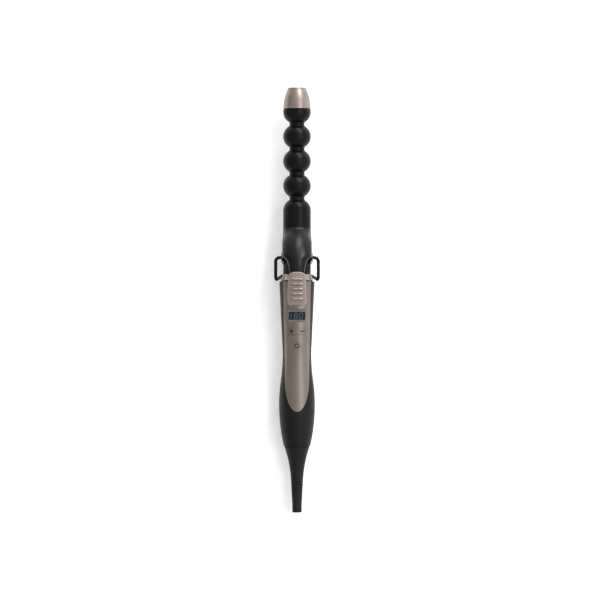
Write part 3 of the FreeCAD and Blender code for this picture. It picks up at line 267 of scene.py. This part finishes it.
CHAMPAGNE_WORN, BLACK_WORN = (0.40, 0.35, 0.32), (0.03, 0.03, 0.03)
FINISHES = {
    "barrel_coat": dict(colour=(0.0038, 0.0038, 0.0040), roughness=0.33, grain=0.2, grain_scale=3200,
                        mottle=0.12, wear=BLACK_WORN, specular=0.12, marks=0.03),
    "champagne_lacquer": dict(colour=(0.19, 0.157, 0.137), roughness=0.41, metallic=0.62, grain=0.12,
                              grain_scale=4200, mottle=0.04, wear=CHAMPAGNE_WORN, coat=0.08, marks=0.04),
    # The panel's champagne lacquer made about a third lighter for the thumb pad: painted light, its extra
    # brightness standing in for light falling on the pad.
    "champagne_painted_lit": dict(colour=(0.245, 0.203, 0.177), roughness=0.40, metallic=0.55, grain=0.12,
                          grain_scale=4200, mottle=0.04, wear=CHAMPAGNE_WORN, coat=0.08, marks=0.04),
    "champagne_brushed": dict(colour=(0.27, 0.225, 0.20), roughness=0.36, metallic=0.75, grain=0.4,
                              grain_scale=1500, stretch=(0.04, 1, 1), mottle=0.10, wear=(0.5, 0.44, 0.41),
                              marks=0.04),
    "mark_dark": dict(colour=(0.012, 0.010, 0.009), roughness=0.6, grain=0.3, specular=0.15),
    "figure_light": dict(colour=(0.06, 0.10, 0.14), roughness=0.4, grain=0.2,
                         glow=((0.06, 0.10, 0.14), 0.25)),
    "polished_collar": dict(colour=(0.31, 0.26, 0.23), roughness=0.31, metallic=1.0, grain=0.05,
                            grain_scale=1800, stretch=(8, 1, 1), wear=(0.7, 0.64, 0.58), marks=0.04),
    "soft_black": dict(colour=(0.006, 0.006, 0.0063), roughness=0.48, grain=0.3, grain_scale=2600,
                       mottle=0.08, wear=(0.035, 0.035, 0.035), specular=0.17, sheen=0.01, marks=0.04),
    "satin_black": dict(colour=(0.0045, 0.0045, 0.0047), roughness=0.33, grain=0.08, grain_scale=3000,
                        wear=BLACK_WORN, specular=0.17, marks=0.025),
    "wire_black": dict(colour=(0.005, 0.005, 0.0053), roughness=0.36, metallic=0.1, grain=0.25,
                       grain_scale=1500, wear=(0.08, 0.08, 0.08), specular=0.2),
    "boot_rubber": dict(colour=(0.007, 0.007, 0.0072), roughness=0.55, grain=0.4, grain_scale=1800,
                        mottle=0.12, specular=0.18, sheen=0.02),
    "window_glass": dict(colour=(0.003, 0.008, 0.016), roughness=0.14, grain=0.01, marks=0.03, coat=0.05,
                         specular=0.22),
    "insulator": dict(colour=(0.75, 0.72, 0.66), roughness=0.5),
    "ceramic": dict(colour=(0.82, 0.80, 0.76), roughness=0.35, grain=0.2),
    "aluminium": dict(colour=(0.72, 0.72, 0.74), roughness=0.32, metallic=1.0, stretch=(1, 12, 12)),
    "steel": dict(colour=(0.55, 0.55, 0.56), roughness=0.28, metallic=1.0, stretch=(1, 10, 10)),
    "brass": dict(colour=(0.72, 0.54, 0.25), roughness=0.25, metallic=1.0, stretch=(10, 1, 1)),
    "board_green": dict(colour=(0.02, 0.16, 0.06), roughness=0.35, coat=0.4, mottle=0.15),
    "part_black": dict(colour=(0.03, 0.03, 0.03), roughness=0.5),
    "wire_red": dict(colour=(0.42, 0.04, 0.03), roughness=0.5, grain=0.2),
}
FINISH_NODES = {
    "barrel_coat": "barrel clip_plate",
    "champagne_lacquer": "cool_tip thumb_rest control_panel rocker_button power_button",
    "polished_collar": "collar_ring",
    "satin_black": "clip_lever",
    "soft_black": "handle_body tail_cap barrel_mount",
    "wire_black": "pivot_pins stand_wire",
    "boot_rubber": "strain_relief",
    "window_glass": "display_window",
    "insulator": "tip_core capacitor",
    "ceramic": "heater_rod heater_holder thermistor",
    "aluminium": "heat_spreaders",
    "brass": "slip_rings brush_contacts",
    "board_green": "circuit_board",
    "part_black": "board_carrier brush_holder display_module microcontroller swivel_bush tact_switches "
                  "triac",
    "wire_red": "heater_leads mains_leads",
}


def paint_nodes():
    """Give every CAD node its finish; what the table leaves out is plated steel."""
    node_finish = {node: finish for finish, nodes in FINISH_NODES.items() for node in nodes.split()}
    for name, node in frame["nodes"].items():
        node.data.materials.clear()
        node.data.materials.append(finishes[node_finish.get(name, "steel")])


# --- mesh helpers ---------------------------------------------------------------------------------

def add_piece(name, points, faces, finish, body, smooth=True):
    """A mesh piece from points in millimetres (across, front, along)."""
    mesh = bpy.data.meshes.new(name)
    mesh.from_pydata([at(*point) for point in points], [], faces)
    tidy = bmesh.new()
    tidy.from_mesh(mesh)
    bmesh.ops.recalc_face_normals(tidy, faces=tidy.faces)
    tidy.to_mesh(mesh)
    tidy.free()
    for polygon in mesh.polygons:
        polygon.use_smooth = smooth
    mesh.materials.append(finishes[finish])
    piece = bpy.data.objects.new(name, mesh)
    bpy.context.scene.collection.objects.link(piece)
    if body:
        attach(piece, body)
    return piece


def grid_faces(rows, columns, ring=False):
    """Faces between rows of points; ring joins each row's last point to its first."""
    faces = []
    for row in range(rows - 1):
        for column in range(columns if ring else columns - 1):
            here, there = row * columns, (row + 1) * columns
            after = (column + 1) % columns
            faces.append((here + column, here + after, there + after, there + column))
    return faces


def arc(start, end, radius, turn, count):
    """Points from start to end along an arc; turn is 1 for one that turns left and -1 for right."""
    start, end = Vector(start), Vector(end)
    chord = end - start
    left = Vector((-chord.y, chord.x)).normalized()
    centre = (start + end) / 2 + left * turn * math.sqrt(radius ** 2 - (chord.length / 2) ** 2)
    first = math.atan2(*(start - centre).yx)
    last = math.atan2(*(end - centre).yx)
    while (last - first) * turn < 0:
        last += turn * math.tau
    angles = [first + (last - first) * k / (count - 1) for k in range(count)]
    return [centre + Vector((math.cos(angle), math.sin(angle))) * radius for angle in angles]


def through(keys, place):
    """A smooth curve through (place, value) keys; beyond them it keeps the first or the last value."""
    keys = sorted(keys)
    if place <= keys[0][0]:
        return keys[0][1]
    if place >= keys[-1][0]:
        return keys[-1][1]
    k = max(i for i, key in enumerate(keys) if key[0] <= place)
    (x0, y0), (x1, y1) = keys[k], keys[k + 1]

    def slope(i):
        low, high = keys[max(i - 1, 0)], keys[min(i + 1, len(keys) - 1)]
        return (high[1] - low[1]) / (high[0] - low[0])

    part, run = (place - x0) / (x1 - x0), x1 - x0
    return ((2 * part ** 3 - 3 * part ** 2 + 1) * y0 + (part ** 3 - 2 * part ** 2 + part) * run * slope(k)
            + (3 * part ** 2 - 2 * part ** 3) * y1 + (part ** 3 - part ** 2) * run * slope(k + 1))


def turned(name, profile, finish, body):
    """A piece turned about the wand's axis from (radius, along) points; a radius of 0 closes an end."""
    sides = 96
    points = []
    for radius, height in profile:
        for k in range(sides):
            angle = math.tau * k / sides
            points.append((radius * math.sin(angle), radius * math.cos(angle), height))
    faces = grid_faces(len(profile), sides, ring=True)
    piece = add_piece(name, points, faces, finish, body)
    weld(piece)
    return piece


def weld(piece):
    """Join points that share a place, and drop the faces that this empties."""
    distance = 0.002 * MM
    tidy = bmesh.new()
    tidy.from_mesh(piece.data)
    bmesh.ops.remove_doubles(tidy, verts=tidy.verts, dist=distance)
    bmesh.ops.dissolve_degenerate(tidy, edges=tidy.edges, dist=distance)
    bmesh.ops.recalc_face_normals(tidy, faces=tidy.faces)
    tidy.to_mesh(piece.data)
    tidy.free()


def fillet(corner, before, after, radius):
    """Points that round a corner between its two neighbours."""
    count = 5
    corner, before, after = Vector(corner), Vector(before), Vector(after)
    into, out = (before - corner).normalized(), (after - corner).normalized()
    half = into.angle(out) / 2
    reach_back = radius / math.tan(half)
    centre = corner + (into + out).normalized() * radius / math.sin(half)
    first, last = corner + into * reach_back - centre, corner + out * reach_back - centre
    return [centre + first.slerp(last, k / (count - 1)) for k in range(count)]


def apply_modifiers(piece):
    """Keep the mesh that the modifiers make, and drop the modifiers."""
    bpy.context.view_layer.update()
    solid = bpy.data.meshes.new_from_object(piece.evaluated_get(bpy.context.evaluated_depsgraph_get()))
    piece.modifiers.clear()
    piece.data = solid


def slab(name, outline, back, face, edge, finish, body):
    """A closed pad with round edges: an outline of (across, distance up the face) points, made thick.

    back and face give the (front, along) place for a part of the way up, from 0 to 1. edge is the radius.
    """
    count = len(outline)
    flat = [Vector(point) for point in outline]

    def inset(distance):
        """The outline moved inwards."""
        moved = []
        for k, point in enumerate(flat):
            before, after = flat[k - 1], flat[(k + 1) % count]
            run = after - before
            inward = Vector((-run.y, run.x)).normalized()
            moved.append(point + inward * distance)
        return moved

    length = (Vector(face(1)) - Vector(face(0))).length
    rows = []
    steps = 6
    turns = [math.pi / 2 * k / steps for k in range(steps + 1)]
    for side in (0, 1):
        for turn in turns if side == 0 else reversed(turns):
            ring = []
            for x, v in inset(edge * (1 - math.sin(turn))):
                part = v / length
                low, high = Vector(back(part)), Vector(face(part))
                depth = edge * (1 - math.cos(turn))
                run = (high - low).normalized()
                place = low + run * depth if side == 0 else high - run * depth
                ring.append((x, place.x, place.y))
            rows.append(ring)
    points = [point for ring in rows for point in ring]
    faces = grid_faces(len(rows), count, ring=True)
    faces += [tuple(range(count)), tuple(range(len(points) - count, len(points)))]
    return add_piece(name, points, faces, finish, body)


# --- clip -----------------------------------------------------------------------------------------

# The lever from the side, as (front, along): its face, its rim, and its free edge from ear to throat.
FIN_TOP, FIN_BEND, FIN_END = (14.8, 255.0), (41.3, 218.3), (42.3, 207.8)
RIM_FRONT, RIM_BACK = (13.8, 256.6), (8.0, 255.2)
EAR_TOP, EAR_WAIST, EAR_SHOULDER = (8.0, 254.0), (7.4, 246.3), (3.9, 241.0)
HEEL, THROAT, THROAT_FOOT, THROAT_END = (12.4, 228.0), (18.7, 229.6), (38.3, 214.0), (39.5, 207.8)
# Half widths of the face and of the ears, as (along, half width).
FIN_HALF_WIDTHS = [(207.5, 6.0), (216.0, 6.2), (221.7, 7.5), (226.1, 9.7), (230.2, 12.8), (235, 13.3),
                   (243.5, 13.3), (247, 12.8), (252.4, 11.5), (256, 10.8)]
EAR_HALF_WIDTHS = [(222, 13.45), (243, 13.4), (248, 12.9), (254, 11.3)]


def lever_edge():
    """The lever's free edge from the side: down the ear, round the pivot pin and along the throat."""
    top_curve, waist_curve, side_curve, lug_curve, heel_curve, throat_curve = 50, 9, 40, 6.6, 13, 20.3
    pin_top, pin_foot = (-4.6, pivot_height + 4.7), (1.5, pivot_height - 6.4)
    ear = arc(EAR_TOP, EAR_WAIST, top_curve, -1, 4) + arc(EAR_WAIST, EAR_SHOULDER, waist_curve, -1, 3)[1:]
    ear += arc(EAR_SHOULDER, pin_top, side_curve, 1, 3)[1:] + arc(pin_top, pin_foot, lug_curve, 1, 8)[1:]
    ear += arc(pin_foot, HEEL, side_curve, 1, 5)[1:]
    throat = arc(HEEL, THROAT, heel_curve, -1, 4)[1:] + arc(THROAT, THROAT_FOOT, throat_curve, -1, 9)[1:]
    return ear, throat


def make_lever():
    """Curved fin and its two ears: one shell with a crowned front, open towards the handle."""
    face_curve, wall = 60.6, 1.7
    end_rows, fade_rows, crown_columns, wall_columns = 4, 3, 8, 6
    rim_share, share_per_row, ear_share = 0.30, 0.12, 0.38  # shares of the wall's full thickness
    corner_share, corner_most = 0.75, 7.5
    ear, throat = lever_edge()
    outer = arc(FIN_TOP, FIN_BEND, face_curve, -1, len(ear + throat))
    outer += [outer[-1].lerp(Vector(FIN_END), k / end_rows) for k in range(1, end_rows + 1)]
    inner = ear + throat
    inner += [inner[-1].lerp(Vector(THROAT_END), k / end_rows) for k in range(1, end_rows + 1)]
    outer.insert(0, Vector(RIM_FRONT))
    inner.insert(0, Vector(RIM_BACK))
    points, weights = [], []
    for row, (there, back) in enumerate(zip(outer, inner)):
        way, depth = (back - there).normalized(), (back - there).length
        half = through(FIN_HALF_WIDTHS, there.y)
        in_ear = max(0.0, min(1.0, 1 - (row - len(ear)) / fade_rows))
        edge_half = half + (through(EAR_HALF_WIDTHS, back.y) - half) * in_ear
        corner = min(corner_share * depth, corner_most)
        front_wall = min(1.0, rim_share + share_per_row * row)
        right = []
        for k in range(crown_columns):
            turn = math.pi / 2 * k / (crown_columns - 1)
            right.append((half * math.sin(turn), corner * (1 - math.cos(turn)), front_wall))
        for k in range(1, wall_columns + 1):
            part = k / wall_columns
            thin = front_wall + (ear_share - front_wall) * min(1.0, 2 * part) * in_ear
            right.append((half + (edge_half - half) * part, corner + (depth - corner) * part, thin))
        section = [(-x, drop, share) for x, drop, share in reversed(right[1:])] + right
        points += [(x, *(there + way * drop)) for x, drop, share in section]
        weights += [share for x, drop, share in section]
    faces = grid_faces(len(outer), len(section))
    lever = add_piece("lever_shell", points, faces, "satin_black", None)
    group = lever.vertex_groups.new(name="wall")
    for k, share in enumerate(weights):
        group.add([k], share, "REPLACE")
    solid = lever.modifiers.new("Wall", "SOLIDIFY")
    solid.thickness = wall * MM
    solid.offset = -1
    solid.vertex_group = "wall"
    round_off = lever.modifiers.new("Round", "SUBSURF")
    round_off.levels = round_off.render_levels = 2
    apply_modifiers(lever)
    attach(lever, "clip")
    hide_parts("clip_lever")


def make_thumb_rest():
    """Tapered pad, wider at its foot, with a raised field and five round ribs."""
    foot_back, top_back = Vector((41.5, 185.7)), Vector((37.2, 215.4))
    foot_face, top_face = Vector((49.4, 186.8)), Vector((47.0, 216.4))
    half_foot, half_top, half_crest = 8.6, 7.8, 4.2
    foot_inset, foot_rise, foot_curve = 3.6, 5.5, 5.2
    top_drop, crest_drop, top_curve, crest_curve = 4.6, 0.5, 4.6, 20
    pad_edge, field_edge, field_sunk, field_raised = 1.0, 0.4, 0.8, 0.45
    ribs, first_rib, rib_pitch, rib_raised = 5, 192.2, 4.33, 0.3
    length = (top_face - foot_face).length
    run = (top_face - foot_face).normalized()
    out = Vector((run.y, -run.x))

    def face(part, raised=0.0):
        """A (front, along) place up the face, or raised out of it."""
        return foot_face.lerp(top_face, part) + out * raised

    outline = arc((half_foot - foot_inset, 0), (half_foot, foot_rise), foot_curve, 1, 7)
    outline += arc((half_top, length - top_drop), (half_crest, length - crest_drop), top_curve, 1, 7)
    outline += arc((half_crest, length - crest_drop), (0, length), crest_curve, 1, 4)[1:-1]
    outline += [Vector((-x, v)) for x, v in reversed(outline)]
    # The pad and its raised field take the lighter copy of the lacquer, painted light; the panel keeps the plain
    # lacquer.
    pad = slab("thumb_pad", outline, lambda part: foot_back.lerp(top_back, part), face, pad_edge,
               "champagne_painted_lit", "clip")
    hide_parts("thumb_rest")
    field = [(5.0, 2.6), (6.3, 4.0), (6.5, 14), (6.2, length - 5.5), (5.0, length - 4.2)]
    field += [(-x, v) for x, v in reversed(field)]
    slab("thumb_field", smooth_loop(field, 8), lambda part: face(part, -field_sunk),
         lambda part: face(part, field_raised), field_edge, "champagne_painted_lit", "clip")
    for number in range(ribs):
        height = first_rib + rib_pitch * number
        part = (height - foot_face.y) / (top_face.y - foot_face.y)
        make_rib(f"thumb_rib_{number}", face(part, rib_raised), out)


def smooth_loop(corners, count):
    """A closed loop with its corners cut to curves: count points between corner middles."""
    loop = []
    for k, corner in enumerate(corners):
        before, here = Vector(corners[k - 1]), Vector(corner)
        after = Vector(corners[(k + 1) % len(corners)])
        first, last = (before + here) / 2, (here + after) / 2
        for step in range(count):
            part = step / count
            loop.append(first * (1 - part) ** 2 + here * 2 * part * (1 - part) + last * part ** 2)
    return loop


def make_rib(name, centre, out):
    """Round bar across the pad with ball ends: high out of the face and buried at its foot."""
    half, thick, tall, slices, sides = 5.7, 1.2, 1.45, 20, 16
    up = Vector((-out.y, out.x))
    points = []
    for row in range(slices + 1):
        place = -math.cos(math.pi * row / slices)
        size = max(1 - abs(place) ** 6, 0.0) ** 0.5
        for k in range(sides):
            turn = math.tau * k / sides
            spot = centre + out * math.sin(turn) * tall * size + up * math.cos(turn) * thick * size
            points.append((half * place, spot.x, spot.y))
    faces = grid_faces(slices + 1, sides, ring=True)
    weld(add_piece(name, points, faces, "champagne_brushed", "clip"))


def make_spring():
    """Leaf spring from its root under the lever to its bowed end on the barrel."""
    half, thick, root = 4.0, 0.4, 17.3
    bow_from, bow_to, bow_curve = (17.2, 236.0), (13.15, 226.9), 20
    toe_from, toe_to, toe_curve = (13.05, 226.2), (13.5, 224.9), 1.3
    line = [Vector((root, height)) for height in (244.0, 241.0, 238.0)]
    line += arc(bow_from, bow_to, bow_curve, -1, 8) + arc(toe_from, toe_to, toe_curve, 1, 5)
    points = []
    for k, place in enumerate(line):
        run = (line[min(k + 1, len(line) - 1)] - line[max(k - 1, 0)]).normalized()
        out = Vector((-run.y, run.x)) * thick / 2
        points += [(-half, *(place + out)), (half, *(place + out))]
        points += [(half, *(place - out)), (-half, *(place - out))]
    faces = grid_faces(len(line), 4, ring=True)
    faces += [(0, 1, 2, 3), tuple(range(len(points) - 4, len(points)))]
    spring = add_piece("leaf_spring", points, faces, "steel", None, smooth=False)
    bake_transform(spring)
    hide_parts("clip_spring")


# --- tip and boot ---------------------------------------------------------------------------------

def make_tip():
    """Cool tip: a small lip, a bullet-shaped side and a flat end with a round edge."""
    foot, top = 363.5, LENGTH / MM
    wide, end, bore, side_curve, end_edge = 12.45, 7.9, 10.4, 40, 0.7
    side = arc((wide - 0.15, foot + 1.1), (end, top), side_curve, 1, 18)
    profile = [(bore, foot + 2.4), (bore, foot + 0.15), (wide - 0.5, foot), (wide - 0.15, foot + 0.08),
               (wide, foot + 0.3), (wide, foot + 0.7), (wide - 0.2, foot + 0.85), (wide - 0.25, foot + 1.0)]
    profile += [tuple(place) for place in side[:-1]]
    profile += [tuple(place) for place in fillet(side[-1], side[-2], (0, top), end_edge)]
    profile += [(end - 1.6, top), (end - 1.9, top - 0.15), (end - 2.2, top - 0.15), (0, top - 0.15)]
    tip = turned("tip_cap", profile, "champagne_brushed", "wand")
    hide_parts("cool_tip")


def make_seam_lip():
    """Lap inside the handle, behind the tail cap's arched seams, so that no light passes through them."""
    low, high, curve, thick = (12.83, 77.5), (14.04, 96.5), 162, 0.6
    outside = arc(low, high, curve, 1, 8)
    inside = [place - Vector((thick, 0)) for place in reversed(outside)]
    profile = [tuple(place) for place in [*outside, *inside, outside[0]]]
    turned("seam_lip", profile, "part_black", "wand")


def make_boot():
    """Swivelling boot: smooth flared cone, nine pointed teeth front and back, collar and cord hole."""
    collar_top, teeth, pitch, relief_top, top = 6.9, 9, 2.5, 29.3, 59.2
    collar, relief, wide, valley, mouth, hole, hole_end = 4.3, 5.5, 11.35, 3.85, 5.2, 3.3, 14.0
    cone_curve, sides = 106, 72
    cone = arc((relief, relief_top), (wide, top), cone_curve, -1, 24)
    stations = [(collar - 0.35, 0.0, None), (collar - 0.1, 0.12, None), (collar, 0.4, None),
                (collar, 1.5, None), (collar - 0.12, 1.6, None), (collar - 0.12, 1.9, None),
                (collar, 2.0, None), (collar, collar_top - 0.6, None)]
    for k in range(teeth):
        low = collar_top + k * pitch
        for share, open_share in ((0.0, 1.0), (0.12, 1.0), (0.5, 0.0), (0.62, 0.0)):
            height = low + share * pitch
            radius = collar + (relief - collar) * (height - collar_top) / (relief_top - collar_top)
            clip = valley + (radius - valley) * (1 - open_share)
            stations.append((radius, height, clip))
    stations += [(place.x, place.y, None) for place in cone]
    stations += [(wide - 0.1, top + 0.12, None), (wide - 0.5, top + 0.2, None), (mouth, top + 0.2, None)]
    inside = [(hole, hole_end, None), (hole, 0.5, None), (hole + 0.3, 0.0, None)]
    points = []
    for radius, height, clip in inside + stations:
        for k in range(sides):
            turn = math.tau * k / sides
            x, f = radius * math.sin(turn), radius * math.cos(turn)
            if clip is not None:
                f = max(-clip, min(clip, f))
            points.append((x, f, height))
    rows = len(inside) + len(stations)
    faces = grid_faces(rows, sides, ring=True)
    faces += [tuple(range(sides)), tuple(range((rows - 1) * sides, rows * sides))]
    boot = add_piece("cord_boot_skin", points, faces, "boot_rubber", "cord_boot")
    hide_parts("strain_relief")


# --- marks ----------------------------------------------------------------------------------------

def print_strokes(name, node, strokes, width, finish, body, lift=0.08):
    """Thin raised marks that follow a CAD node's front face; a stroke is a list of (across, along)."""
    outside, step, thick, corners = 40, 0.4, 0.12, 4
    mesh = frame["nodes"][node].data
    tree = BVHTree.FromPolygons([v.co for v in mesh.vertices], [p.vertices for p in mesh.polygons])
    points, faces = [], []

    def front_of(x, z):
        """How far to the front a mark's top lies at a place."""
        hit = tree.ray_cast(at(x, outside, z), -front)[0]
        return (hit - tail).dot(front) / MM + lift

    for stroke in strokes:
        fine = []
        for first, last in zip(stroke, stroke[1:]):
            first, last = Vector(first), Vector(last)
            steps = max(int((last - first).length / step), 1)
            fine += [first.lerp(last, k / steps) for k in range(steps)]
        fine.append(Vector(stroke[-1]))
        start = len(points)
        for k, place in enumerate(fine):
            run = (fine[min(k + 1, len(fine) - 1)] - fine[max(k - 1, 0)]).normalized()
            side = Vector((-run.y, run.x)) * width / 2
            for x, z in (place + side, place - side):
                height = front_of(x, z)
                points += [(x, height, z), (x, height - thick, z)]
        for k in range(len(fine) - 1):
            left, left_low, right, right_low = (start + corners * k + i for i in range(corners))
            faces += [(left, right, right + corners, left + corners),
                      (left_low, left_low + corners, right_low + corners, right_low),
                      (left, left + corners, left_low + corners, left_low),
                      (right, right_low, right_low + corners, right + corners)]
        end = start + corners * (len(fine) - 1)
        faces += [(start, start + 1, start + 3, start + 2), (end, end + 2, end + 3, end + 1)]
    return add_piece(name, points, faces, finish, body, smooth=False)


def make_marks():
    """Plus, minus and power signs on the keys and a three-figure reading in the window."""
    rocker_stroke, plus_centre, plus_half_wide, plus_half_tall = 0.9, -5.0, 1.7, 1.8
    minus_from, minus_to = 2.6, 7.1
    power_stroke, ring_radius, ring_steps, ring_from, ring_turn = 0.85, 1.8, 24, 32, 296
    rocker_low, rocker_high = reach("rocker_button")
    height = (rocker_low[2] + rocker_high[2]) / 2
    plus = [[(plus_centre - plus_half_wide, height), (plus_centre + plus_half_wide, height)],
            [(plus_centre, height - plus_half_tall), (plus_centre, height + plus_half_tall)]]
    minus = [[(minus_from, height), (minus_to, height)]]
    for sign, strokes in (("rocker_plus", plus), ("rocker_minus", minus)):
        print_strokes(sign, "rocker_button", strokes, rocker_stroke, "mark_dark", "rocker")
    power_low, power_high = reach("power_button")
    centre = (power_low[2] + power_high[2]) / 2
    turns = [math.radians(ring_from + ring_turn * k / ring_steps) for k in range(ring_steps + 1)]
    ring = [(ring_radius * math.sin(turn), centre + ring_radius * math.cos(turn)) for turn in turns]
    bar = [(0, centre + 0.5), (0, centre + 2.7)]
    print_strokes("power_sign", "power_button", [ring, bar], power_stroke, "mark_dark",
                  "power_key")
    make_reading()


def make_reading():
    """Seven-bar figures that lean to the right, lit pale blue."""
    low, high = reach("display_window")
    middle = (low[2] + high[2]) / 2
    tall, wide, lean, gap, stroke, lift = 4.6, 2.7, 0.18, 0.22, 0.5, 0.03
    starts = (-8.0, -2.4, 2.2)
    bars = {"top": ((0, 1), (1, 1)), "middle": ((0, 0.5), (1, 0.5)), "foot": ((0, 0), (1, 0)),
            "left_high": ((0, 0.5), (0, 1)), "left_low": ((0, 0), (0, 0.5)),
            "right_high": ((1, 0.5), (1, 1)), "right_low": ((1, 0), (1, 0.5))}
    figures = [("right_high", "right_low"), tuple(bars), tuple(bar for bar in bars if bar != "middle")]
    strokes = []
    for left, figure in zip(starts, figures):
        for bar in figure:
            ends = []
            for x, y in bars[bar]:
                z = (y - 0.5) * tall
                ends.append(Vector((left + x * wide + lean * z, middle + z)))
            run = (ends[1] - ends[0]).normalized() * gap
            strokes.append([ends[0] + run, ends[1] - run])
    print_strokes("reading", "display_window", strokes, stroke, "figure_light", "wand", lift)


# --- whole wand -----------------------------------------------------------------------------------

finishes = {name: surface(name, **look) for name, look in FINISHES.items()}
make_camera()
make_floor()
make_lights()
paint_nodes()
make_lever()
make_thumb_rest()
make_spring()
make_tip()
make_seam_lip()
make_boot()
make_marks()
